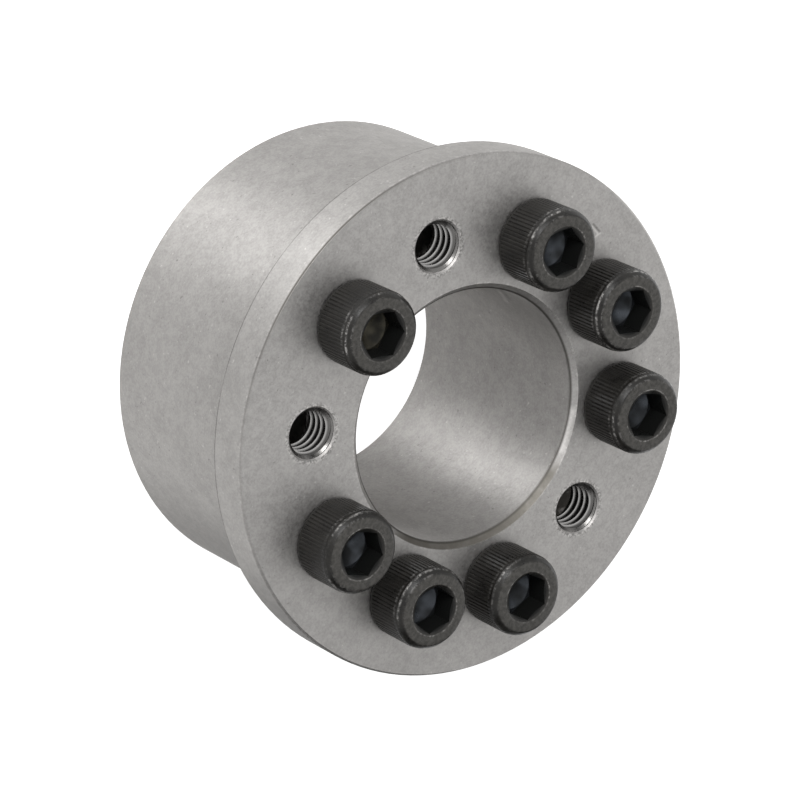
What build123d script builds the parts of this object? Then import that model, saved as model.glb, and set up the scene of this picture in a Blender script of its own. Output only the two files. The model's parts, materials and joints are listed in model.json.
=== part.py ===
"""Shaft locking assembly with a flange, modelled as it is delivered: two rings that wedge on a slow
taper, and socket-head screws that draw them together between a shaft and a hub.

The part stands on the rear face of the outer ring, with its axis on +Z and the flange on top. The
origin is on the axis, in the plane of that rear face. Angles are counted from +X towards +Y. The
front of the part is -Y: one screw is there, with a jack thread on each side of it.
"""

import os
from math import cos, radians, tan

from build123d import *
from build123d.topology import SkipClean

# The radii build up outwards from the shaft: sleeve wall, taper, web, screw, rim, flange lip. With
# these values the outer ring comes to 55 mm for the hub, and the flange to 62 mm.
SHAFT_D = 30.0

# Flanged inner ring
FLANGE_LIP = 3.5  # how far the flange stands proud of the hub's bore
HUB_MOUTH_CHAMFER = 0.5  # on the hub; the land that it rests on starts outside it
FLANGE_T = 5.4
OVERALL_LEN = 31.0  # rear face of the outer ring to the face of the flange
SLEEVE_WALL = 1.35  # thinnest, at the rear end of the sleeve
REAR_RECESS = 1.0  # the sleeve ends this far inside the outer ring
BORE_CHAMFER = 0.75
FLANGE_EDGE = 0.25
ROOT_RADIUS = 0.6
INNER_SLIT_W = 1.6
INNER_SLIT_END = 1.4  # solid metal left between the slit and the flange

# Outer ring
RING_GAP = 1.6  # left open under the flange, so that the taper can pull up
RING_EDGE = 0.3
RING_WEB = 0.95  # metal between the screw threads and the widest end of the tapered bore
RIM_WALL = 3.0  # metal between the screw threads and the outside of the ring
OUTER_SLIT_W = 2.5

# Taper between the rings, 1 in 10 on the diameter
TAPER_SLOPE = 0.05  # radius gained per length
TAPER_FIT = 0.05

# Bolt circle: equal places, of which some carry jack threads and the rest screws
PLACES = 10
JACK_PLACES = (1, 5, 9)
FIRST_PLACE_ANGLE = -90.0
INNER_SLIT_PLACE = 0.5  # halfway between the first two places
OUTER_SLIT_PLACE = 5.5

# Socket-head screw
THREAD_D = 6.0
THREAD_FIT = 0.05
SCREW_LEN = 20.0
HEAD_D = 10.0
HEAD_H = 6.0
HEAD_EDGE = 0.45
HEAD_FOOT = 0.25
HEX_AF = 5.0
SOCKET_DEPTH = 3.2
SOCKET_SINK = 0.18
SINK_ANGLE = 120.0
DRILL_POINT_ANGLE = 118.0
HEX_TURNS = (10, 58, 30, 43, 1, 7, 22)  # a corner's direction in each screw, as it was left
NECK = 0.2  # the shank widens by this much where it meets the head
TIP_CHAMFER = 0.6
PASS_CLEARANCE = 0.3  # between a screw and its hole in the flange
HOLE_EDGE = 0.2

TOOL_OVER = 1.0  # how far a cutting tool runs past the metal
ROOT_ROOM = 0.6  # the root radius takes no more than this share of the gap under the flange
SAME = 1e-3  # two sizes this near are one and the same

# Heights and radii that follow from the sizes above
flange_face_z = OVERALL_LEN
flange_under_z = OVERALL_LEN - FLANGE_T
ring_top_z = flange_under_z - RING_GAP
place_step = 360.0 / PLACES
screw_places = [n for n in range(PLACES) if n not in JACK_PLACES]


def sleeve_radius(z):
    """Outside radius of the inner ring's taper, which widens towards the flange."""
    return SHAFT_D / 2 + SLEEVE_WALL + (z - REAR_RECESS) * TAPER_SLOPE


def ring_bore_radius(z):
    """Bore radius of the outer ring, a running fit around the inner ring's taper."""
    return sleeve_radius(z) + TAPER_FIT


bolt_circle_r = ring_bore_radius(ring_top_z) + RING_WEB + THREAD_D / 2
hub_seat_r = bolt_circle_r + THREAD_D / 2 + RIM_WALL
pass_hole_d = THREAD_D + 2 * PASS_CLEARANCE
socket_corner_r = HEX_AF / 2 / cos(radians(30))


def place_angle(place):
    return FIRST_PLACE_ANGLE + place * place_step


def at_place(place, z):
    """Location on the bolt circle at height z."""
    return Rot(0, 0, place_angle(place)) * Pos(bolt_circle_r, 0, z)


def turned(*corners, join_flush=True):
    """Solid of revolution about Z, from its (radius, height) corners. With join_flush off, a corner
    in the middle of a straight side leaves its circle on the solid."""
    return revolve(make_face(Plane.XZ * Polyline(*corners, close=True)), Axis.Z, clean=join_flush)


def drilled(diameter, low_z, high_z, edge):
    """Tool for a through hole with a small chamfer at both mouths."""
    r = diameter / 2
    return turned(
        (0, low_z - TOOL_OVER),
        (r + edge + TOOL_OVER, low_z - TOOL_OVER),
        (r, low_z + edge),
        (r, high_z - edge),
        (r + edge + TOOL_OVER, high_z + TOOL_OVER),
        (0, high_z + TOOL_OVER),
    )


def radial_slit(place, width, reach, low_z, high_z):
    """Tool for a saw slit that runs from the axis outwards."""
    block = Box(reach, width, high_z - low_z, align=(Align.MIN, Align.CENTER, Align.MIN))
    return Rot(0, 0, place_angle(place)) * Pos(0, 0, low_z) * block


def flanged_inner_ring():
    """Flange and sleeve in one piece. The lip's land, which the hub's face comes up against, keeps
    its own outline on the underside of the flange; the metal there is plain and flat throughout."""
    bore_r = SHAFT_D / 2
    rim_r = hub_seat_r + FLANGE_LIP
    ring = turned(
        (bore_r, REAR_RECESS + BORE_CHAMFER),
        (bore_r + BORE_CHAMFER, REAR_RECESS),
        (sleeve_radius(REAR_RECESS), REAR_RECESS),
        (sleeve_radius(flange_under_z), flange_under_z),
        (hub_seat_r + HUB_MOUTH_CHAMFER, flange_under_z),
        (rim_r - FLANGE_EDGE, flange_under_z),
        (rim_r, flange_under_z + FLANGE_EDGE),
        (rim_r, flange_face_z - FLANGE_EDGE),
        (rim_r - FLANGE_EDGE, flange_face_z),
        (bore_r + BORE_CHAMFER, flange_face_z),
        (bore_r, flange_face_z - BORE_CHAMFER),
        join_flush=False,
    )
    root_r = sleeve_radius(flange_under_z)
    root = [
        edge
        for edge in ring.edges().filter_by(GeomType.CIRCLE)
        if abs(edge.radius - root_r) < SAME and abs(edge.center().Z - flange_under_z) < SAME
    ]
    ring = fillet(root, min(ROOT_RADIUS, RING_GAP * ROOT_ROOM))
    slit_end = flange_under_z - INNER_SLIT_END
    with SkipClean():
        for place in range(PLACES):
            size = THREAD_D if place in JACK_PLACES else pass_hole_d
            ring -= at_place(place, 0) * drilled(size, flange_under_z, flange_face_z, HOLE_EDGE)
        ring -= radial_slit(INNER_SLIT_PLACE, INNER_SLIT_W, rim_r, REAR_RECESS - TOOL_OVER, slit_end)
    return ring


def outer_ring():
    bore_edge = RING_EDGE / 2
    ring = turned(
        (ring_bore_radius(bore_edge) + bore_edge, 0),
        (hub_seat_r - RING_EDGE, 0),
        (hub_seat_r, RING_EDGE),
        (hub_seat_r, ring_top_z - RING_EDGE),
        (hub_seat_r - RING_EDGE, ring_top_z),
        (ring_bore_radius(ring_top_z - bore_edge) + bore_edge, ring_top_z),
        (ring_bore_radius(ring_top_z - bore_edge), ring_top_z - bore_edge),
        (ring_bore_radius(bore_edge), bore_edge),
    )
    for place in screw_places:
        ring -= at_place(place, 0) * drilled(THREAD_D, 0, ring_top_z, HOLE_EDGE)
    reach = hub_seat_r + TOOL_OVER
    slit = radial_slit(OUTER_SLIT_PLACE, OUTER_SLIT_W, reach, -TOOL_OVER, ring_top_z + TOOL_OVER)
    return ring - slit


def socket():
    """Tool for the hexagon socket: mouth at height 0, with a light countersink and a drill point."""
    hexagon = extrude(RegularPolygon(socket_corner_r, 6), -SOCKET_DEPTH)
    point_r = HEX_AF / 2
    drill_point = turned(
        (0, -SOCKET_DEPTH - point_r / tan(radians(DRILL_POINT_ANGLE / 2))),
        (point_r, -SOCKET_DEPTH),
        (0, -SOCKET_DEPTH),
    )
    sink_r = socket_corner_r + SOCKET_SINK
    sink_depth = sink_r / tan(radians(SINK_ANGLE / 2))
    countersink = turned((0, -sink_depth), (sink_r, 0), (sink_r, TOOL_OVER), (0, TOOL_OVER))
    return hexagon + drill_point + countersink


def clamp_screw():
    """Socket-head screw, seated with its head on height 0 and its shank pointing down."""
    head_r = HEAD_D / 2
    shank_r = THREAD_D / 2 - THREAD_FIT
    body = turned(
        (0, -SCREW_LEN),
        (shank_r - TIP_CHAMFER, -SCREW_LEN),
        (shank_r, -SCREW_LEN + TIP_CHAMFER),
        (shank_r, -NECK),
        (shank_r + NECK, 0),
        (head_r - HEAD_FOOT, 0),
        (head_r, HEAD_FOOT),
        (head_r, HEAD_H - HEAD_EDGE),
        (head_r - HEAD_EDGE, HEAD_H),
        (0, HEAD_H),
    )
    return body - Pos(0, 0, HEAD_H) * socket()


def write(name, solid):
    solid.label = name
    export_step(solid, f"parts/{name}.step")


os.makedirs("parts", exist_ok=True)
write("flanged_inner_ring", flanged_inner_ring())
write("outer_ring", outer_ring())
screw = clamp_screw()
for index, place in enumerate(screw_places):
    turn = HEX_TURNS[index % len(HEX_TURNS)] - place_angle(place)
    write(f"clamp_screw_{index + 1}", at_place(place, flange_face_z) * Rot(0, 0, turn) * screw)
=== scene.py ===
# %% [markdown]
# # A shaft locking assembly, dressed for its picture
# The real object is a keyless locking bush. A flanged inner ring slides on a slow taper inside a slit
# outer ring, and seven socket-head screws draw the two together, so that they grip a shaft inside
# and a hub outside. Three more holes in the flange are tapped for jack screws, which take it apart.
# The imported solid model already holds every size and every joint, so nothing is moved here. This
# lesson gives the pieces what a solid model leaves out: threads, knurls, worn edges and finishes.

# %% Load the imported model
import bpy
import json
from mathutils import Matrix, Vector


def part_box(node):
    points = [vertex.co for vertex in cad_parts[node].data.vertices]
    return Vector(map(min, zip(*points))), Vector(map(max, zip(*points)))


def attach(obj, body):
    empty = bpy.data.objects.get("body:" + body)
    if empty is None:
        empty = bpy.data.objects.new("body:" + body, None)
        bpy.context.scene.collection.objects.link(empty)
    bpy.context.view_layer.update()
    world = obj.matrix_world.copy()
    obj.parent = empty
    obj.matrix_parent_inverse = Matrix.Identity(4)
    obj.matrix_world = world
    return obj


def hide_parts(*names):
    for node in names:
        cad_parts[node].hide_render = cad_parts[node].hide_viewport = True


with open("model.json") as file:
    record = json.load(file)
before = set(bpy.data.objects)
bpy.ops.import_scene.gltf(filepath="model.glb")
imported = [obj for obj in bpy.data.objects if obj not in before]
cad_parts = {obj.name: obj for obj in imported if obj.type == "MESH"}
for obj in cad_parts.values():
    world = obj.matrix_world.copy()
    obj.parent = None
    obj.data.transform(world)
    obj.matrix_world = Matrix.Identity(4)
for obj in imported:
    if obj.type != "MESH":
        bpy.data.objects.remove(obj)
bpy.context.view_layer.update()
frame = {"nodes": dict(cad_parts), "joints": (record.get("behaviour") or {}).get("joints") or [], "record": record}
print("CAD nodes:", ", ".join(sorted(frame["nodes"])))

# %% Other modules
import json
from math import atan2, cos, degrees, pi, radians, sin, tan

import bmesh
import bpy
from mathutils import Quaternion, Vector

# %% [markdown]
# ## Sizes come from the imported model
# A look that is drawn by eye drifts away from the part. Here each size is read from the packed
# record or from a node's own corners: the record says where the screws and the tapped holes are,
# and a screw's turn for each step of the taper gives the pitch of its thread. The model is in
# metres. Fine shapes are easier to write, and safer to cut, in millimetres, so the work is done in
# millimetres and each finished piece is shrunk to metres at the end.

# %% Places and sizes, in millimetres
MM = 0.001
mounts = {mount["name"]: mount for mount in frame["record"]["mounts"]}
turns = [joint for joint in frame["joints"] if joint["name"].startswith("screw_")]
couplings = frame["record"]["behaviour"]["couplings"]


def flat_place(position):
    """Where a joint or a mount stands, seen along the axis."""
    return Vector(position[:2]) / MM


def node_box(node):
    return [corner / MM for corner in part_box(node)]


shaft_r = mounts["shaft_bore"]["dims"]["r_mm"]
thread_r = mounts["jack_thread_left"]["dims"]["r_mm"]
pitch = 2 * pi / couplings[0]["ratio"] / MM
jack_places = [flat_place(m["pos_m"]) for name, m in mounts.items() if name.startswith("jack_thread")]
screw_places = [flat_place(joint["pos_m"]) for joint in turns]
rim_r, _, face_z = node_box("flanged_inner_ring")[1]
under_z = mounts["hub_stop_face"]["pos_m"][2] / MM
ring_top_z = node_box("outer_ring")[1].z
screw_box = node_box("clamp_screw_1")
HEAD_UNDER_NOMINAL = 0.1
head_r = (screw_box[1].x - screw_box[0].x) / 2 - HEAD_UNDER_NOMINAL
head_h = screw_box[1].z - face_z
shank_len = face_z - screw_box[0].z
print(f"flange {2 * rim_r:.1f} mm, head {2 * head_r:.1f} x {head_h:.1f} mm")
print(f"shank {shank_len:.1f} mm, pitch {pitch:.2f} mm")

# %% [markdown]
# ## How the hexagons were left
# Each screw stopped turning where it was tight, so the seven hexagons point different ways. A copy
# of one screw looks right only if each copy is turned as its CAD node is. The corners of the socket
# are vertices of the node, so their direction can be measured instead of guessed.

# %% Measure the sockets
WITHIN_HEAD = 0.62  # share of the head's radius, wider than the hexagon and narrower than the crown
BELOW_MOUTH = 0.5  # deeper than the countersink
SAME_RADIUS = 0.002
HEX_STEP = 60  # degrees from one corner to the next


def socket_corners(node, place):
    """Vertices of a screw's hexagon, as (place from the screw's own axis, height)."""
    inside = []
    for vertex in frame["nodes"][node].data.vertices:
        out = vertex.co.xy / MM - place
        height = vertex.co.z / MM
        if out.length < head_r * WITHIN_HEAD and face_z < height < face_z + head_h - BELOW_MOUTH:
            inside.append((out, height))
    corner_r = max(out.length for out, _ in inside)
    return [(out, height) for out, height in inside if out.length > corner_r - SAME_RADIUS]


hex_turns = []
for joint, place in zip(turns, screw_places):
    corners = socket_corners(joint["child"], place)
    first_corner = corners[0][0]
    hex_turns.append(degrees(atan2(first_corner.y, first_corner.x)) % HEX_STEP)
hex_corner_r = first_corner.length
socket_floor = min(height for _, height in corners) - face_z
print("hexagons turned", [round(turn) for turn in hex_turns], "degrees")
print(f"hexagon corner {hex_corner_r:.2f} mm, floor {head_h - socket_floor:.2f} mm down")

# %% [markdown]
# ## Working by hand, in code
# Blender's tools act on whatever is selected. By hand you click; here a test on a vertex's place
# does the clicking. The helpers below open an object with nothing selected, pick by place, and close
# it again with doubled vertices merged and every face turned outwards.

# %% Helpers for edit mode
TOUCHING = 0.001


def make_active(obj):
    bpy.ops.object.select_all(action="DESELECT")
    bpy.context.view_layer.objects.active = obj
    obj.select_set(True)


def start_editing(obj):
    make_active(obj)
    bpy.ops.object.mode_set(mode="EDIT")
    bpy.ops.mesh.select_mode(type="VERT")
    bpy.ops.mesh.select_all(action="DESELECT")


def pick(obj, wanted):
    """Selects the vertices whose place passes the test, and says how many they are."""
    mesh = bmesh.from_edit_mesh(obj.data)
    for vertex in mesh.verts:
        vertex.select_set(bool(wanted(vertex.co)))
    mesh.select_flush_mode()
    bmesh.update_edit_mesh(obj.data)
    return sum(vertex.select for vertex in mesh.verts)


def stop_editing():
    bpy.ops.mesh.select_all(action="SELECT")
    bpy.ops.mesh.remove_doubles(threshold=TOUCHING)
    bpy.ops.mesh.normals_make_consistent(inside=False)
    bpy.ops.object.mode_set(mode="OBJECT")


def rescale(obj, factor):
    make_active(obj)
    obj.scale = (factor, factor, factor)
    bpy.ops.object.transform_apply(location=True, rotation=True, scale=True)


def report(obj):
    """Prints the size of a mesh, and the edges that don't lie between two faces: none, if it is closed."""
    mesh = bmesh.new()
    mesh.from_mesh(obj.data)
    loose = sum(len(edge.link_faces) != 2 for edge in mesh.edges)
    mesh.free()
    print(f"{obj.name}: {len(obj.data.polygons)} faces, {loose} open edges")


# %% [markdown]
# ## Turning on a lathe
# A screw head, a drill point and a countersink are all turned shapes. One could spin an outline, but
# a disc that is drawn up step by step gives the same rings of faces and keeps a vertex in each place
# round the axis, which the knurl needs later. Each step extrudes the end face and then resizes it.

# %% A turned solid
def turned(name, outline, sides):
    """A solid on the Z axis, through the outline's (radius, height) steps."""
    (radius, height), *steps = outline
    bpy.ops.object.select_all(action="DESELECT")
    start = (0, 0, height)
    bpy.ops.mesh.primitive_circle_add(vertices=sides, radius=radius, fill_type="NGON", location=start)
    obj = bpy.context.object
    obj.name = name
    bpy.ops.object.transform_apply(location=True, rotation=True, scale=True)
    bpy.ops.object.mode_set(mode="EDIT")
    bpy.ops.mesh.select_all(action="SELECT")
    for next_radius, next_height in steps:
        rise = (0, 0, next_height - height)
        bpy.ops.mesh.extrude_region_move(TRANSFORM_OT_translate={"value": rise})
        share = next_radius / radius
        bpy.ops.transform.resize(value=(share, share, 1), center_override=(0, 0, next_height))
        radius, height = next_radius, next_height
    stop_editing()
    return obj


def combine(obj, tool, operation):
    """Cuts, joins or keeps obj by the shape of the tool, which is then thrown away."""
    make_active(obj)
    bpy.ops.object.modifier_add(type="BOOLEAN")
    boolean = obj.modifiers[-1]
    boolean.operation = operation
    boolean.solver = "EXACT"
    boolean.object = tool
    bpy.ops.object.modifier_apply(modifier=boolean.name)
    bpy.data.objects.remove(tool)


# %% [markdown]
# ## The form of a thread
# A metric thread is one groove of 60 degrees, wound round and round at a steady pitch. The Screw
# modifier winds an outline in the same way. The outline is exactly one pitch long, so each turn
# begins where the last one ended, and the merged turns are one closed skin. Two flat cuts and their
# fill end it. The screw's ridge is a little narrower than the tapped groove that it runs in, as a
# real one is, so the two never touch while the screw turns.

# %% Sizes of the thread
THREAD_STEPS = 48  # round one turn
THREAD_DEPTH = 0.541  # of a metric thread, as a share of its pitch
FLANK = tan(radians(30))
minor_r = thread_r - THREAD_DEPTH * pitch
crest_width = pitch / 4


def ridge_width(radius):
    """Width of the metal between two turns of a tapped thread, at a radius."""
    return crest_width + 2 * (radius - minor_r) * FLANK


# %% A threaded rod
def drawn_line(name, points):
    """A line of edges in the XZ plane, drawn from point to point."""
    bpy.ops.object.select_all(action="DESELECT")
    bpy.ops.mesh.primitive_plane_add(size=1)
    obj = bpy.context.object
    obj.name = name
    bpy.ops.object.mode_set(mode="EDIT")
    bpy.ops.mesh.select_all(action="SELECT")
    bpy.ops.mesh.merge(type="CENTER")
    (x, z), *others = points
    bpy.ops.transform.translate(value=(x, 0, z))
    for next_x, next_z in others:
        step = (next_x - x, 0, next_z - z)
        bpy.ops.mesh.extrude_vertices_move(TRANSFORM_OT_translate={"value": step})
        x, z = next_x, next_z
    bpy.ops.object.mode_set(mode="OBJECT")
    return obj


def threaded_rod(name, root, crest, play, low, high):
    """A rod with a right-handed thread. Its ridge is centred on height 0 in the direction of +X."""
    half_root = (pitch - ridge_width(root)) / 2 - play
    half_crest = (pitch - ridge_width(crest)) / 2 - play
    outline = [(root, -half_root), (crest, -half_crest), (crest, half_crest), (root, half_root),
               (root, pitch - half_root)]
    first = (round(low / pitch) - 2) * pitch
    obj = drawn_line(name, [(radius, first + height) for radius, height in outline])
    make_active(obj)
    bpy.ops.object.modifier_add(type="SCREW")
    winding = obj.modifiers[-1]
    winding.angle = 2 * pi
    winding.screw_offset = pitch
    winding.iterations = round((high - low) / pitch) + 4
    winding.steps = winding.render_steps = THREAD_STEPS
    bpy.ops.object.modifier_apply(modifier=winding.name)
    start_editing(obj)
    bpy.ops.mesh.select_all(action="SELECT")
    bpy.ops.mesh.remove_doubles(threshold=TOUCHING)
    for height, side in ((low, -1), (high, 1)):
        bpy.ops.mesh.select_all(action="SELECT")
        bpy.ops.mesh.bisect(plane_co=(0, 0, height), plane_no=(0, 0, side), use_fill=True, clear_outer=True)
    stop_editing()
    return obj


# %% [markdown]
# ## One screw
# The real screw is forged, rolled and blackened: a cylinder head with a straight knurl of 67
# grooves, a rounded crown, a broached hexagon on a drilled hole, and a full thread. Rolled heads come
# out a tenth of a millimetre under their nominal radius, and so does this one. It starts as a disc
# with four vertices to a groove. One vertex in four is drawn inwards, and that is the whole knurl.
# The hexagon and its drill point are cut like the real ones, from the top.

# %% Head with its knurl
KNURL_GROOVES = 67
PER_GROOVE = 4
KNURL_DEPTH = 0.1
KNURL_LOW, KNURL_HIGH = 0.55, 4.85  # heights over the head's underside
RUN_OUT = 0.15  # the grooves rise to the surface within this height
head_sides = KNURL_GROOVES * PER_GROOVE
crown_r = head_r - KNURL_DEPTH
side = [
    (head_r - 0.3, 0), (head_r - 0.05, 0.22), (head_r, 0.35), (head_r, KNURL_LOW),
    (head_r, KNURL_LOW + RUN_OUT), (head_r, KNURL_HIGH),
]
crown = [
    (crown_r, 5.02), (crown_r, 5.3), (head_r - 0.2, 5.48), (head_r - 0.42, 5.72),
    (head_r - 0.5, 5.82), (head_r - 0.62, 5.92), (head_r - 0.85, head_h),
]
screw = turned("clamp_screw_form", side + crown, sides=head_sides)


def in_groove(place):
    """Whether a vertex lies in the grooved band, in the middle of a groove."""
    step = round(atan2(place.y, place.x) / (2 * pi) * head_sides)
    grooved = KNURL_LOW + RUN_OUT / 2 < place.z < KNURL_HIGH + RUN_OUT / 2
    return grooved and step % PER_GROOVE == 0


start_editing(screw)
picked = pick(screw, in_groove)
groove_share = 1 - KNURL_DEPTH / head_r
bpy.ops.transform.resize(value=(groove_share, groove_share, 1), center_override=(0, 0, 0))
stop_editing()
print(f"knurl: {picked // 2} grooves drawn in by {KNURL_DEPTH:.2f} mm")

# %% Socket
SINK = 0.2  # how much wider the countersink is than the hexagon's corners
POINT = 0.01  # radius of a cone's end, because a disc can't shrink to nothing
OVER = 1  # how far a cutting tool runs past the metal
flat_r = hex_corner_r * cos(radians(30))
sink_r = hex_corner_r + SINK
drill_r = flat_r * 0.98
sink_slope = tan(radians(30))
drill_slope = 1 / tan(radians(59))
drill_depth = drill_r * drill_slope
sink_depth = sink_r * sink_slope
hexagon = turned("hexagon", [(hex_corner_r, socket_floor), (hex_corner_r, head_h + OVER)], sides=6)
start_editing(hexagon)
bpy.ops.mesh.select_all(action="SELECT")
bpy.ops.transform.rotate(value=radians(30), orient_axis="Z", center_override=(0, 0, 0))
stop_editing()
drill = turned(
    "drill",
    [(POINT, socket_floor - drill_depth), (drill_r, socket_floor), (drill_r, socket_floor + OVER)],
    sides=48,
)
countersink = turned(
    "countersink",
    [(POINT, head_h - sink_depth), (sink_r, head_h), (sink_r + OVER, head_h + sink_slope)],
    sides=96,
)
for tool in (hexagon, drill, countersink):
    combine(screw, tool, "DIFFERENCE")
report(screw)

# %% Threaded shank
THREAD_PLAY = 0.03  # along the axis, on each side of the ridge
CREST_UNDER, ROOT_UNDER = 0.05, 0.06  # how far crests and roots lie inside the nominal radii
TIP_CHAMFER = 0.75
THREAD_TOP = -0.6  # the thread ends this far under the head
CLEAR, CLEAR_TIP = 0.02, 0.01  # so that the envelope and the thread never share a surface
shank_r = thread_r - CREST_UNDER
root_r = minor_r - ROOT_UNDER
outside_r = shank_r + CLEAR
shank = threaded_rod("shank", root_r, shank_r, THREAD_PLAY, -shank_len, THREAD_TOP)
tip = (shank_r - TIP_CHAMFER, -shank_len - CLEAR_TIP)
envelope = turned("envelope", [tip, (outside_r, -shank_len + TIP_CHAMFER), (outside_r, OVER)], sides=64)
combine(shank, envelope, "INTERSECT")
report(shank)

# %% Neck, and the shank joined to its head
neck_outline = [
    (shank_r - 0.03, -1.15), (shank_r - 0.03, -0.25), (shank_r + 0.2, 0.05), (shank_r + 0.2, 0.3),
]
neck = turned("neck", neck_outline, sides=60)
combine(shank, neck, "UNION")
combine(screw, shank, "UNION")
report(screw)

# %% [markdown]
# ## Remember where each point of the screw was turned
# Wear follows the screw's own form: the crown's edge is rubbed bright wherever the screw stands. The
# seven copies will lie round the flange, so each vertex keeps its place on the first screw in an
# attribute, in millimetres, and the material reads that. Then every copy is worn in the same way,
# while its blotches, which read Object coordinates, still differ.

# %% Attribute for the screw's own place
on_screw = screw.data.attributes.new("on_screw", "FLOAT_VECTOR", "POINT")
for vertex, value in zip(screw.data.vertices, on_screw.data):
    value.vector = vertex.co
print("places kept:", len(on_screw.data))

# %% [markdown]
# ## Seven screws from one
# Each copy has a mesh of its own, is turned so that its hexagon points as the CAD node's does, and
# is set down on the flange. Its place is then applied to the mesh, so the object itself stays at the
# origin, where the pose and the export expect it.

# %% Copies
def copy_piece(original, name, turn, place, height):
    """A copy with its own mesh, turned by that many degrees and set down at a place."""
    make_active(original)
    bpy.ops.object.duplicate(linked=False)
    piece = bpy.context.object
    piece.name = piece.data.name = name
    piece.rotation_euler = (0, 0, radians(turn))
    piece.location = (place.x, place.y, height)
    bpy.ops.object.transform_apply(location=True, rotation=True, scale=True)
    return piece


SCREW_SMOOTH = radians(28)
make_active(screw)
bpy.ops.object.shade_smooth_by_angle(angle=SCREW_SMOOTH)
screws = []
for number, (joint, place, turn) in enumerate(zip(turns, screw_places, hex_turns), start=1):
    piece = copy_piece(screw, f"socket_screw_{number}", turn, place, face_z)
    rescale(piece, MM)
    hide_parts(joint["child"])
    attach(piece, joint["child"])
    screws.append(piece)
bpy.data.objects.remove(screw)
print("screws:", len(screws))

# %% [markdown]
# ## Rings with real threads
# The solid model leaves the tapped holes plain at the thread's outer size. A thread that is only
# painted on would show nothing down a hole, so its turns are real here: a plug is threaded on the
# inside, countersunk at its mouths, and joined into a merged copy of the ring. In the outer ring
# each thread starts where its screw's does, so the two stay in step at every height of the taper.

# %% Thread plugs
plug_r = thread_r + 0.05  # a little into the ring's metal, so that plug and ring join
tap_r = thread_r + 0.02
MOUTH = 0.27  # how much wider than the plug its countersunk mouths are
HOLE_SIDES = 60


def tapped_plug(name, low, high):
    """A tube for a plain hole, tapped inside. Its heights are counted from the flange's face."""
    plug = turned(name, [(plug_r, low), (plug_r, high)], sides=HOLE_SIDES)
    tap = threaded_rod("tap", minor_r, tap_r, 0, low - OVER, high + OVER)
    combine(plug, tap, "DIFFERENCE")
    wide = plug_r + MOUTH
    for mouth, inwards in ((low, 1), (high, -1)):
        cone = [(wide + OVER, mouth - inwards * OVER), (wide, mouth), (POINT, mouth + inwards * wide)]
        combine(plug, turned("mouth", cone, sides=HOLE_SIDES), "DIFFERENCE")
    report(plug)
    return plug


def merged_copy(node, name):
    """The node's mesh as a new piece, in millimetres, with its loose triangles merged."""
    piece = bpy.data.objects.new(name, frame["nodes"][node].data.copy())
    bpy.context.scene.collection.objects.link(piece)
    rescale(piece, 1 / MM)
    start_editing(piece)
    bpy.ops.mesh.customdata_custom_splitnormals_clear()
    stop_editing()
    report(piece)
    return piece


# %% Flanged ring
flanged_ring = merged_copy("flanged_inner_ring", "flanged_ring")
jack_plug = tapped_plug("jack_plug", under_z - face_z, 0)
for place in jack_places:
    combine(flanged_ring, copy_piece(jack_plug, "plug", 0, place, face_z), "UNION")
bpy.data.objects.remove(jack_plug)
report(flanged_ring)

# %% Outer ring
slit_ring = merged_copy("outer_ring", "slit_ring")
ring_plug = tapped_plug("ring_plug", -face_z, ring_top_z - face_z)
for place, turn in zip(screw_places, hex_turns):
    combine(slit_ring, copy_piece(ring_plug, "plug", turn, place, face_z), "UNION")
bpy.data.objects.remove(ring_plug)
report(slit_ring)

# %% [markdown]
# ## Materials from small bricks
# All finishes are built from nodes, with no pictures. A few helpers keep them readable: one adds a
# node and links its inputs, one makes noise of a given size in millimetres, and one marks a soft
# line round the axis, which is how an edge of a turned piece is found.

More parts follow.
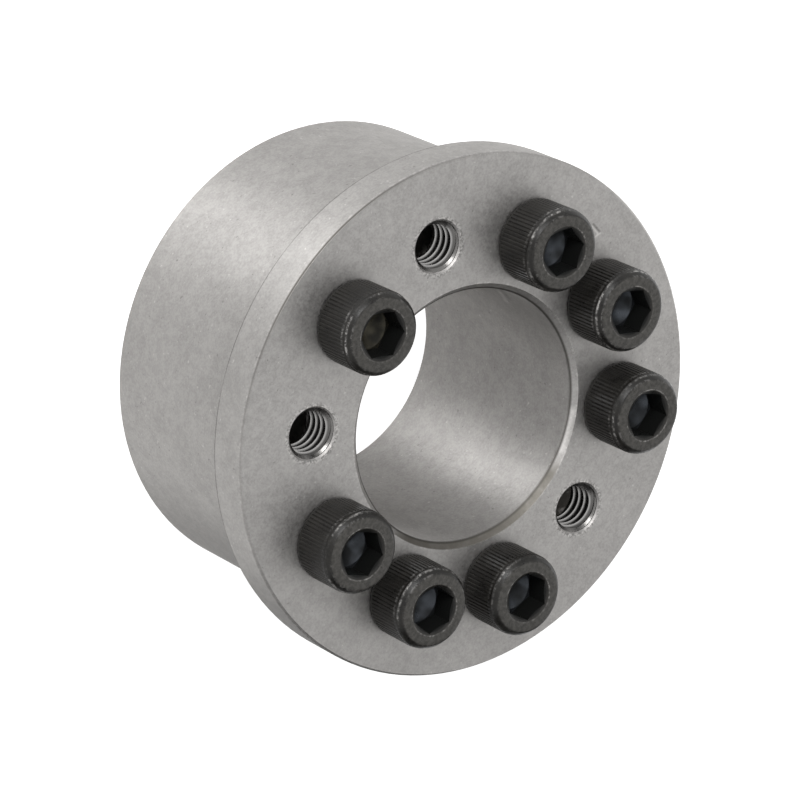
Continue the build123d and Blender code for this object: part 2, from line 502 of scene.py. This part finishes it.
# %% Node helpers
class Finish:
    """A material under construction. Places are in millimetres, in the part's own frame."""

    def __init__(self, name):
        self.material = bpy.data.materials.new(name)
        self.material.use_nodes = True
        self.tree = self.material.node_tree
        self.shader = self.tree.nodes["Principled BSDF"]
        per_mm = (1 / MM, 1 / MM, 1 / MM)
        self.place = self.vector("MULTIPLY", self.node("ShaderNodeTexCoord").outputs["Object"], per_mm)

    def node(self, kind, inputs=(), **settings):
        made = self.tree.nodes.new(kind)
        for name, value in settings.items():
            setattr(made, name, value)
        for name, value in dict(inputs).items():
            self.feed(made.inputs[name], value)
        return made

    def feed(self, socket, value):
        if isinstance(value, bpy.types.NodeSocket):
            self.tree.links.new(value, socket)
        else:
            socket.default_value = value

    def surface(self, **inputs):
        """Sets the shader's own inputs, whose names are written here with _ for a space."""
        for name, value in inputs.items():
            self.feed(self.shader.inputs[name.replace("_", " ")], value)

    def math(self, operation, first, second=0.0, clamp=False):
        made = self.node("ShaderNodeMath", {0: first, 1: second}, operation=operation, use_clamp=clamp)
        return made.outputs[0]

    def total(self, first, *others):
        for value in others:
            first = self.math("ADD", first, value)
        return first

    def product(self, first, *others):
        for value in others:
            first = self.math("MULTIPLY", first, value)
        return first

    def vector(self, operation, first, second=(0, 0, 0)):
        made = self.node("ShaderNodeVectorMath", {0: first, 1: second}, operation=operation)
        return made.outputs["Value"] if operation == "DISTANCE" else made.outputs["Vector"]

    def noise(self, size, detail=2.0, roughness=0.5):
        """Noise between 0 and 1 whose blotches are about that many millimetres across."""
        inputs = {"Vector": self.place, "Scale": 1 / size, "Detail": detail, "Roughness": roughness}
        return self.node("ShaderNodeTexNoise", inputs).outputs["Fac"]

    def between(self, value, low, high, start=0.0, end=1.0):
        """Maps low..high smoothly to start..end."""
        inputs = {"Value": value, "From Min": low, "From Max": high, "To Min": start, "To Max": end}
        return self.node("ShaderNodeMapRange", inputs, interpolation_type="SMOOTHSTEP").outputs["Result"]

    def mix(self, share, first, second):
        made = self.node("ShaderNodeMix", {"Factor": share}, data_type="RGBA")
        colour_a, colour_b, colour_out = made.inputs[6], made.inputs[7], made.outputs[2]
        self.feed(colour_a, first)
        self.feed(colour_b, second)
        return colour_out

    def from_axis(self, place=None):
        flat = self.vector("MULTIPLY", place or self.place, (1, 1, 0))
        return self.vector("DISTANCE", flat)

    def height(self, place=None):
        return self.node("ShaderNodeSeparateXYZ", {"Vector": place or self.place}).outputs["Z"]

    def along(self, direction, place=None):
        """How far a place lies in a direction."""
        inputs = {0: place or self.place, 1: direction}
        return self.node("ShaderNodeVectorMath", inputs, operation="DOT_PRODUCT").outputs["Value"]

    def from_nearest(self, centres):
        """Distance from the nearest of several lines parallel to the axis."""
        flat = self.vector("MULTIPLY", self.place, (1, 1, 0))
        nearest = None
        for centre in centres:
            away = self.vector("DISTANCE", flat, (centre.x, centre.y, 0))
            nearest = self.math("MINIMUM", nearest, away) if nearest else away
        return nearest

    def edge(self, radius, height, width, place=None):
        """1 on a turned edge at that radius and height, fading to 0 within the width."""
        across = self.math("SUBTRACT", self.from_axis(place), radius)
        along = self.math("SUBTRACT", self.height(place), height)
        squares = [self.math("MULTIPLY", value, value) for value in (across, along)]
        away = self.math("SQRT", self.math("ADD", *squares))
        return self.between(away, 0.0, width, 1.0, 0.0)

    def stroke(self, start, end, width):
        """1 on a straight scratch between two places, fading to 0 within the width."""
        whole = Vector(end) - Vector(start)
        run = self.vector("SUBTRACT", self.place, tuple(start))
        share = self.along(whole / whole.length_squared, run)
        held = self.math("MINIMUM", self.math("MAXIMUM", share, 0.0), 1.0)
        foot = self.node("ShaderNodeVectorMath", {0: whole, "Scale": held}, operation="SCALE")
        away = self.vector("DISTANCE", run, foot.outputs["Vector"])
        return self.between(away, 0.0, width, 1.0, 0.0)

    def bump(self, height, depth):
        return self.node("ShaderNodeBump", {"Height": height, "Distance": depth * MM}).outputs["Normal"]


def grey(level, warmth=0.0):
    return (level * (1 + warmth), level, level * (1 - warmth), 1)


# %% [markdown]
# ## Bare steel
# The rings were turned and then left with a fine satin finish. Up close the grey is mottled, with a
# grain of about a third of a millimetre and a few specks. Turning leaves marks that run round the
# axis, and they smear a lamp's reflection along it: that is the soft bright band down the cylinder
# and the bore. An anisotropic shader does the same, so the cylinders get one, with its tangent along
# the axis, and the flat faces get an even satin.

# %% Grain, specks, worn edges, and painted shade and highlights on edges
BORE_CHAMFER = 0.75
# Each edge: radius, height and width.
RIM_REAR = (rim_r, under_z + 0.27, 0.22)
RIM_FRONT = (rim_r, face_z - 0.32, 0.26)
RIM_CHAMFER = (rim_r - 0.14, face_z - 0.1, 0.28)
BORE_MOUTH = (shaft_r + BORE_CHAMFER, face_z, 0.26)
BORE_EDGE = (shaft_r + 0.1, face_z - BORE_CHAMFER + 0.1, 0.3)
# The rim's chamfer is painted darker towards this side, as painted shade, and lighter on its far side, as a
# painted highlight.
SHADED_SIDE = (-3.2, -30.8, face_z)


def steel_grain(finish):
    """How much lighter or darker than plain steel a point is, and its finest grain."""
    blotches = finish.noise(5.0, detail=3)
    patches = finish.noise(1.2, detail=3, roughness=0.6)
    grain = finish.noise(0.3, detail=3, roughness=0.75)
    specks = finish.noise(0.5, detail=1)
    tone = finish.total(
        finish.between(blotches, 0.35, 0.65, -0.03, 0.03), finish.between(patches, 0.36, 0.64, -0.045, 0.045),
        finish.between(grain, 0.34, 0.66, -0.09, 0.09), finish.between(specks, 0.29, 0.22, 0.0, -0.25),
        finish.between(specks, 0.71, 0.78, 0.0, 0.3),
    )
    return tone, grain


def edge_wear_shade_and_highlight(finish):
    """Painted shade on the rear edge, at the seam with the outer ring, bright nicks in the front edges, and a
    painted highlight on the far side of the rim's chamfer.
    """
    fades = finish.between(finish.noise(9.0, detail=2), 0.35, 0.6, 0.45, 1.0)
    nicks = finish.product(fades, finish.between(finish.noise(0.6, detail=4, roughness=0.65), 0.48, 0.66))
    away = finish.vector("DISTANCE", finish.place, SHADED_SIDE)
    return finish.total(
        # The rear edge's dark line is painted shade at the seam with the outer ring.
        finish.product(finish.edge(*RIM_REAR), fades, -0.5),
        finish.product(finish.edge(*RIM_FRONT), nicks, 0.2),
        finish.product(finish.edge(*BORE_MOUTH), nicks, 0.45),
        # Painted highlight on the far side of the rim's chamfer.
        finish.product(finish.edge(*RIM_CHAMFER), finish.between(away, 37, 46, 0.0, 0.55)),
    )


def shade_and_dark_line(finish):
    """Painted shade on the rim's chamfer, darkest towards one side, and on the outer ring in the gap under each
    jack hole, and a dark line at the bore's inner edge.
    """
    away = finish.vector("DISTANCE", finish.place, SHADED_SIDE)
    # Painted shade on the rim's chamfer, darkest towards one side.
    rim = finish.product(finish.edge(*RIM_CHAMFER), finish.between(away, 3, 26, 0.95, 0.25))
    bore = finish.product(finish.edge(*BORE_EDGE), 0.88)
    ragged = finish.between(finish.noise(1.8, detail=3, roughness=0.6), 0.34, 0.66, -0.7, 0.7)
    spread = finish.total(finish.from_nearest(jack_places), ragged)
    under_jack = finish.between(spread, thread_r + 2.1, thread_r + 1.1)
    in_gap = finish.between(finish.height(), under_z - 0.2, under_z - 0.8)
    above_ring = finish.between(finish.height(), ring_top_z - 0.6, ring_top_z - 0.2)
    # Painted shade on the outer ring, in the gap under each jack hole.
    gap_shade = finish.product(under_jack, in_gap, above_ring, 0.9)
    return finish.math("MAXIMUM", finish.math("MAXIMUM", rim, bore), gap_shade)


# %% Marks, and a painted highlight
# Each stroke: start, end, width, and how much lighter or darker it is.
SCUFF = [
    ((-26.5, -0.4, face_z), (-26.35, 1.0, face_z), 0.26, -0.45),
    ((-26.2, -0.4, face_z), (-26.05, 0.8, face_z), 0.24, 0.35),
    ((-26.3, 1.15, face_z), (-25.6, 0.85, face_z), 0.22, 0.45),
]
# A painted highlight on the bore's chamfer.
CHAMFER_GLARE = [((-4.2, 14.75, 30.6), (-8.4, 12.8, 30.6), 0.8, 0.5)]
BORE_SMEARS = [
    ((-15.0, 0.2, 23.0), (-14.8, 2.4, 22.2), 0.7, 0.28),
    ((-14.93, -1.4, 24.6), (-14.95, 1.2, 23.8), 0.8, -0.2),
]
BURR_WIDTH = 0.9


def marks_and_glare(finish):
    """A scuff near the rim, a painted highlight on the bore's chamfer, a smear in the bore, a burr round each jack
    thread.
    """
    strokes = []
    for start, end, width, strength in SCUFF + CHAMFER_GLARE + BORE_SMEARS:
        strokes.append(finish.product(finish.stroke(start, end, width), strength))
    away = finish.from_nearest(jack_places)
    ring = finish.product(finish.between(away, thread_r, thread_r + 0.25),
                          finish.between(away, thread_r + 0.25, thread_r + BURR_WIDTH, 1.0, 0.0))
    on_face = finish.between(finish.height(), face_z - 0.6, face_z - 0.3)
    speckle = finish.between(finish.noise(0.28, detail=2, roughness=0.7), 0.38, 0.62, -0.35, 0.35)
    return finish.total(finish.product(ring, on_face, speckle), *strokes)


# %% Oil in the chamfer, and painted shade in the threads and on the rings
TONE_RANGE = 0.6  # the lightest and darkest spots differ this much from plain steel
# The grooves' colours are painted shade, lighter near the mouth.
THREAD_CREST, GROOVE_SHADE, MOUTH_GROOVE_SHADE = 0.4, 0.035, 0.17
OLD_OIL = (0.138, 0.13, 0.116, 1)
# Colour of the painted shade, and of the dark line at the bore's inner edge.
DARK_LINE_AND_SHADE = (0.06, 0.056, 0.05, 1)
OILED_SIDE = (cos(radians(51)), sin(radians(51)), 0)


def oiled_chamfer(finish):
    """Where old oil has dried on one side of the bore's front chamfer."""
    one_side = finish.between(finish.along(OILED_SIDE), 9.3, 11.4)
    front = finish.between(finish.height(), face_z - BORE_CHAMFER, face_z - BORE_CHAMFER + 0.2)
    ring = finish.between(finish.from_axis(), shaft_r + BORE_CHAMFER + 0.08, shaft_r + BORE_CHAMFER - 0.08)
    uneven = finish.between(finish.noise(1.4, detail=3), 0.3, 0.6, 0.88, 1.0)
    return finish.product(one_side, front, ring, uneven)


def thread_colours_and_shade(finish, colour):
    """Bare crests, and grooves painted dark as painted shade, less so near the mouth."""
    away = finish.from_nearest(jack_places + screw_places)
    flank = finish.between(away, minor_r, minor_r + 0.3)
    near_mouth = finish.between(finish.height(), face_z - 1.3, face_z - 0.5)
    groove = finish.mix(near_mouth, grey(GROOVE_SHADE, 0.03), grey(MOUTH_GROOVE_SHADE, 0.03))
    thread = finish.mix(flank, grey(THREAD_CREST, 0.02), groove)
    return finish.mix(finish.between(away, thread_r - 0.06, thread_r + 0.02), thread, colour)


# %% Three kinds of steel
def steel(name, level, roughness, anisotropy=0.0, threaded=False):
    finish = Finish(name)
    tone, grain = steel_grain(finish)
    # The tone also holds painted shade at the rim's rear edge and painted highlights on the chamfers.
    tone = finish.total(tone, edge_wear_shade_and_highlight(finish), marks_and_glare(finish))
    share = finish.math("ADD", finish.product(tone, 0.5 / TONE_RANGE), 0.5, clamp=True)
    darkest, lightest = 1 - TONE_RANGE, 1 + TONE_RANGE
    colour = finish.mix(share, grey(level * darkest, 0.035), grey(level * lightest, 0.027))
    colour = finish.mix(oiled_chamfer(finish), colour, OLD_OIL)
    # Painted shade on the rim's chamfer and under the jack holes, and a dark line at the bore's edge.
    colour = finish.mix(shade_and_dark_line(finish), colour, DARK_LINE_AND_SHADE)
    if threaded:
        # The threads' grooves are painted dark: painted shade.
        colour = thread_colours_and_shade(finish, colour)
    uneven = finish.between(grain, 0.3, 0.7, roughness - 0.05, roughness + 0.05)
    finish.surface(Base_Color=colour, Roughness=uneven, Normal=finish.bump(grain, 0.008), Metallic=1.0)
    if anisotropy:
        along = finish.node("ShaderNodeCombineXYZ", {"Z": 1.0}).outputs["Vector"]
        finish.surface(Anisotropic=anisotropy, Tangent=along)
    return finish.material


faced_steel = steel("faced_steel", 0.37, 0.5)
turned_steel = steel("turned_steel", 0.405, 0.6, anisotropy=0.92)
cut_thread = steel("cut_thread", 0.36, 0.27, threaded=True)
print("steels:", faced_steel.name, turned_steel.name, cut_thread.name)

# %% Give each face of the rings its finish
NEAR_THREAD = thread_r + 0.03
FLAT = 0.6  # the least upward or downward share of a flat face's normal
RING_SMOOTH = radians(25)


def finish_ring(piece, node, holes):
    """Flat faces get the faced steel, tapped holes the cut thread, and the rest the turned steel."""
    # Closing the piece again merges the vertices that the joining left almost in one place.
    start_editing(piece)
    stop_editing()
    report(piece)
    piece.data.materials.clear()
    for material in (faced_steel, turned_steel, cut_thread):
        piece.data.materials.append(material)
    counts = [0, 0, 0]
    for face in piece.data.polygons:
        near = min((face.center.xy - hole).length for hole in holes) < NEAR_THREAD
        flat = abs(face.normal.z) > FLAT
        face.material_index = 2 if near else 0 if flat else 1
        counts[face.material_index] += 1
    make_active(piece)
    bpy.ops.object.shade_smooth_by_angle(angle=RING_SMOOTH)
    rescale(piece, MM)
    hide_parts(node)
    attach(piece, node)
    print(piece.name, "faces by finish:", counts)


finish_ring(flanged_ring, "flanged_inner_ring", jack_places)
finish_ring(slit_ring, "outer_ring", screw_places)

# %% [markdown]
# ## Black oxide
# The screws are blackened and lightly oiled: a thin black skin, brown-grey in the light, that shines
# softly. It is rubbed through to bare metal in short nicks along the crown's edge, and less so at
# the socket's mouth. The socket's inside is painted darker, as painted shade, and its floor gets a
# painted reflection, bluish, and olive in one screw. The masks read the place that each vertex kept
# from the first screw.

# %% Colours and masks of a blackened screw
BLACK = (0.0065, 0.006, 0.0053, 1)
BROWN_BLACK = (0.0225, 0.0208, 0.0182, 1)
WORN_TOP = (0.088, 0.084, 0.077, 1)
# The socket's inside is painted darker: painted shade.
SOCKET_SHADE = (0.011, 0.0115, 0.011, 1)
# Colours of a painted reflection on the socket floors.
FLOOR_REFLECTION_BLUE = (0.062, 0.068, 0.077, 1)
FLOOR_REFLECTION_OLIVE = (0.072, 0.066, 0.05, 1)
BARE_STEEL = grey(0.5, 0.03)
OLIVE_SCREW = screw_places[0]  # the painted reflection on this one's socket floor is olive, and bluish in the others


def socket_masks(finish, own):
    """Where the socket's inside is, for its painted shade, and where its floor gets a painted reflection."""
    height = finish.height(own)
    inside = finish.product(
        finish.between(finish.from_axis(own), hex_corner_r + 0.05, hex_corner_r - 0.02),
        finish.between(height, head_h - 0.1, head_h - 0.3),
        finish.between(height, 0.6, 1.0),
    )
    uneven = finish.between(finish.noise(2.0, detail=1), 0.32, 0.66, 0.2, 1.0)
    floor_reflection = finish.product(inside, finish.between(height, socket_floor + 0.1, socket_floor), uneven)
    return inside, floor_reflection


def rubbed_bare(finish, own):
    """Where the skin is rubbed through, in short nicks along the crown and at the socket's mouth."""
    fades = finish.between(finish.noise(3.4, detail=2), 0.42, 0.6, 0.1, 1.0)
    nicks = finish.between(finish.noise(0.5, detail=4, roughness=0.7), 0.42, 0.66, 0.05, 0.9)
    # Each worn edge: radius, height, width, and how bare it is.
    edges = [
        (head_r, KNURL_HIGH, 0.25, 0.45), (head_r - 0.17, 5.42, 0.24, 1.0),
        (head_r - 0.6, 5.9, 0.2, 0.35), (sink_r, head_h, 0.12, 0.75),
    ]
    bare = [finish.product(finish.edge(r, z, width, own), share) for r, z, width, share in edges]
    return finish.product(finish.total(*bare), fades, nicks)


# %% Blackened screws
def black_oxide():
    finish = Finish("black_oxide_finish")
    own = finish.node("ShaderNodeAttribute", attribute_name="on_screw").outputs["Vector"]
    blotches = finish.noise(1.6, detail=4)
    grain = finish.noise(0.2, detail=2, roughness=0.7)
    mottling = finish.between(blotches, 0.35, 0.65, 0.25, 0.75)
    uneven = finish.total(mottling, finish.between(grain, 0.36, 0.64, -0.25, 0.25))
    colour = finish.mix(uneven, BLACK, BROWN_BLACK)
    smudges = finish.between(finish.noise(0.5, detail=3, roughness=0.6), 0.36, 0.64, 0.5, 1.0)
    top = finish.product(finish.between(finish.height(own), 5.9, 5.98), smudges)
    colour = finish.mix(top, colour, WORN_TOP)
    inside, floor_reflection = socket_masks(finish, own)
    # Painted shade inside the socket.
    colour = finish.mix(inside, colour, SOCKET_SHADE)
    olive = finish.between(finish.from_nearest([OLIVE_SCREW]), head_r + 1, head_r)
    # Painted reflection on the socket's floor, bluish, and olive in one screw.
    colour = finish.mix(floor_reflection, colour, finish.mix(olive, FLOOR_REFLECTION_BLUE, FLOOR_REFLECTION_OLIVE))
    rubbed = rubbed_bare(finish, own)
    colour = finish.mix(rubbed, colour, BARE_STEEL)
    cloudy = finish.between(blotches, 0.3, 0.7, -0.05, 0.05)
    rough = finish.total(finish.between(grain, 0.3, 0.7, 0.3, 0.42), cloudy)
    finish.surface(Base_Color=colour, Roughness=rough, Normal=finish.bump(grain, 0.01))
    metal = finish.total(finish.product(rubbed, 0.9), finish.product(floor_reflection, 0.8))
    shine = finish.between(inside, 0.0, 1.0, 0.3, 0.1)
    finish.surface(Metallic=metal, Specular_IOR_Level=shine)
    return finish.material


blackened = black_oxide()
for piece in screws:
    piece.data.materials.clear()
    piece.data.materials.append(blackened)
print("blackened:", len(screws), "screws")

# %% [markdown]
# ## A white studio
# The picture shows the part cut out on white. A pale floor lit by soft lamps is never quite even, so
# floor and world also glow for rays that come straight from the camera or by way of metal, and the
# floor still takes the lamps' shadow. One large soft lamp stands for the studio's key light, placed
# so that its band falls on the cylinder where the picture has it. The floor closes the bore's rear
# end, which is open in the picture, so a small lamp low in the bore stands for the light from there.

# %% Which rays see the white
def seen_directly(tree):
    """1 for rays from the camera, from a reflection or through glass."""
    rays = tree.nodes.new("ShaderNodeLightPath").outputs
    seen = rays["Is Camera Ray"]
    for other in (rays["Is Glossy Ray"], rays["Is Transmission Ray"]):
        either = tree.nodes.new("ShaderNodeMath")
        either.operation = "MAXIMUM"
        tree.links.new(seen, either.inputs[0])
        tree.links.new(other, either.inputs[1])
        seen = either.outputs[0]
    return seen


# %% Floor
FLOOR_GLOW = 0.85
FLOOR_RADIUS = 2.5  # metres, so that its rim is far out of the picture
UNDER_PART = 0.02  # the floor lies this little below the part, because faces in one plane flicker
floor_place = (0, 0, -UNDER_PART * MM)
bpy.ops.object.select_all(action="DESELECT")
bpy.ops.mesh.primitive_circle_add(vertices=96, radius=FLOOR_RADIUS, fill_type="NGON", location=floor_place)
floor = bpy.context.object
floor.name = "studio_floor"
pale = bpy.data.materials.new("pale_floor")
pale.use_nodes = True
tree = pale.node_tree
paint = tree.nodes["Principled BSDF"]
paint.inputs["Base Color"].default_value = (0.8, 0.8, 0.8, 1)
paint.inputs["Roughness"].default_value = 0.9
paint.inputs["Specular IOR Level"].default_value = 0.0
paint.inputs["Emission Color"].default_value = (1, 1, 1, 1)
glow = tree.nodes.new("ShaderNodeMath")
glow.operation = "MULTIPLY"
glow.inputs[1].default_value = FLOOR_GLOW
tree.links.new(seen_directly(tree), glow.inputs[0])
tree.links.new(glow.outputs[0], paint.inputs["Emission Strength"])
floor.data.materials.append(pale)
print(f"floor: {2 * FLOOR_RADIUS:.0f} m across, {UNDER_PART} mm under the part")

# %% World
AMBIENT = 0.4  # what it sheds on the part
WHITE = 1.0  # what the camera and the metal see of it
world = bpy.data.worlds.new("white_studio")
bpy.context.scene.world = world
world.use_nodes = True
tree = world.node_tree
tree.nodes.clear()
output = tree.nodes.new("ShaderNodeOutputWorld")
choice = tree.nodes.new("ShaderNodeMixShader")
tree.links.new(seen_directly(tree), choice.inputs["Fac"])
for number, strength in ((1, AMBIENT), (2, WHITE)):
    sky = tree.nodes.new("ShaderNodeBackground")
    sky.inputs["Color"].default_value = (1, 1, 1, 1)
    sky.inputs["Strength"].default_value = strength
    tree.links.new(sky.outputs[0], choice.inputs[number])
tree.links.new(choice.outputs[0], output.inputs["Surface"])
print("world:", AMBIENT, "on the part,", WHITE, "in the picture and in metal")

# %% Lamps
MIDDLE = Vector((0, 0, face_z / 2))


def towards(azimuth, elevation):
    a, e = radians(azimuth), radians(elevation)
    return Vector((cos(a) * cos(e), sin(a) * cos(e), sin(e)))


def soft_lamp(name, stand, target, size, light):
    """A square soft box, sizes in millimetres. Light is what it sheds on a card held square to it."""
    throw = (stand - target) * MM
    bpy.ops.object.light_add(type="AREA", location=stand * MM)
    lamp = bpy.context.object
    lamp.name = name
    lamp.rotation_mode = "QUATERNION"
    lamp.rotation_quaternion = throw.to_track_quat("Z", "Y")
    lamp.data.shape = "SQUARE"
    lamp.data.size = size * MM
    lamp.data.energy = light * pi * throw.length_squared
    lamp.visible_camera = False


KEY_SIDE = towards(251, 38)
KEY_AWAY = 700
soft_lamp("key_lamp", MIDDLE + KEY_SIDE * KEY_AWAY, MIDDLE, size=300, light=1.4)
bore_stand = Vector((-3.6, -9.8, 5))
bore_target = Vector((1, 14, 0))
soft_lamp("bore_lamp", bore_stand, bore_target, size=12, light=0.75)

# %% [markdown]
# ## A black card
# Bare metal shows what stands round it. In the picture the lower side of the face is darker, and so
# is the bore's chamfer where it looks that way, so something dark stood there. A black card does
# that. It is out of the picture, and only reflections are allowed to see it, so it casts no shadow.

# %% Black card, in millimetres
CARD_WIDTH, CARD_HEIGHT = 170, 105
CARD_AWAY = 105  # from the axis
CARD_OFF_FLOOR = 2
CARD_SIDE = towards(45, 0)
card_middle = CARD_SIDE * CARD_AWAY + Vector((0, 0, CARD_HEIGHT / 2 + CARD_OFF_FLOOR))
bpy.ops.object.select_all(action="DESELECT")
bpy.ops.mesh.primitive_plane_add(size=MM)
card = bpy.context.object
card.name = "black_card"
card.scale = (CARD_WIDTH, CARD_HEIGHT, 1)
card.rotation_mode = "QUATERNION"
card.rotation_quaternion = CARD_SIDE.to_track_quat("Z", "Y")
card.location = card_middle * MM
bpy.ops.object.transform_apply(location=True, rotation=True, scale=True)
card.visible_camera = card.visible_diffuse = card.visible_shadow = False
matt = bpy.data.materials.new("matt_black")
matt.use_nodes = True
paint = matt.node_tree.nodes["Principled BSDF"]
paint.inputs["Base Color"].default_value = (0.02, 0.02, 0.02, 1)
paint.inputs["Roughness"].default_value = 0.9
card.data.materials.append(matt)
print("card:", CARD_WIDTH, "x", CARD_HEIGHT, "mm, seen only by reflections")

# %% [markdown]
# ## The camera
# The picture was taken with a long lens from in front of the flange and above it, and the part lay
# on its side. Here the part stands on its rear face, so the camera is rolled instead of the part.
# Its place was solved from the circles in the picture: the flange, the bore and the bolt circle.

# %% Camera
AIM = Vector((1.427, 0.616, 18.274)) * MM
CAMERA_AZIMUTH = 11.031
CAMERA_ELEVATION = 50.447
CAMERA_DISTANCE = 510.17 * MM
CAMERA_ROLL = 115.245
LENS = 198.0
SENSOR = 36.0
a, e = radians(CAMERA_AZIMUTH), radians(CAMERA_ELEVATION)
back = Vector((sin(a) * cos(e), -cos(a) * cos(e), sin(e)))
bpy.ops.object.camera_add(location=AIM + back * CAMERA_DISTANCE)
camera = bpy.context.object
camera.rotation_mode = "QUATERNION"
unrolled = back.to_track_quat("Z", "Y")
camera.rotation_quaternion = unrolled @ Quaternion((0, 0, 1), radians(CAMERA_ROLL))
camera.data.lens = LENS
camera.data.sensor_width = SENSOR
camera.data.clip_start = 10 * MM
camera.data.clip_end = 10.0  # metres
bpy.context.scene.camera = camera
bpy.context.scene.view_settings.view_transform = "Standard"
print(f"camera: {LENS:.0f} mm lens, {CAMERA_DISTANCE:.3f} m away, rolled by {CAMERA_ROLL:.0f} degrees")
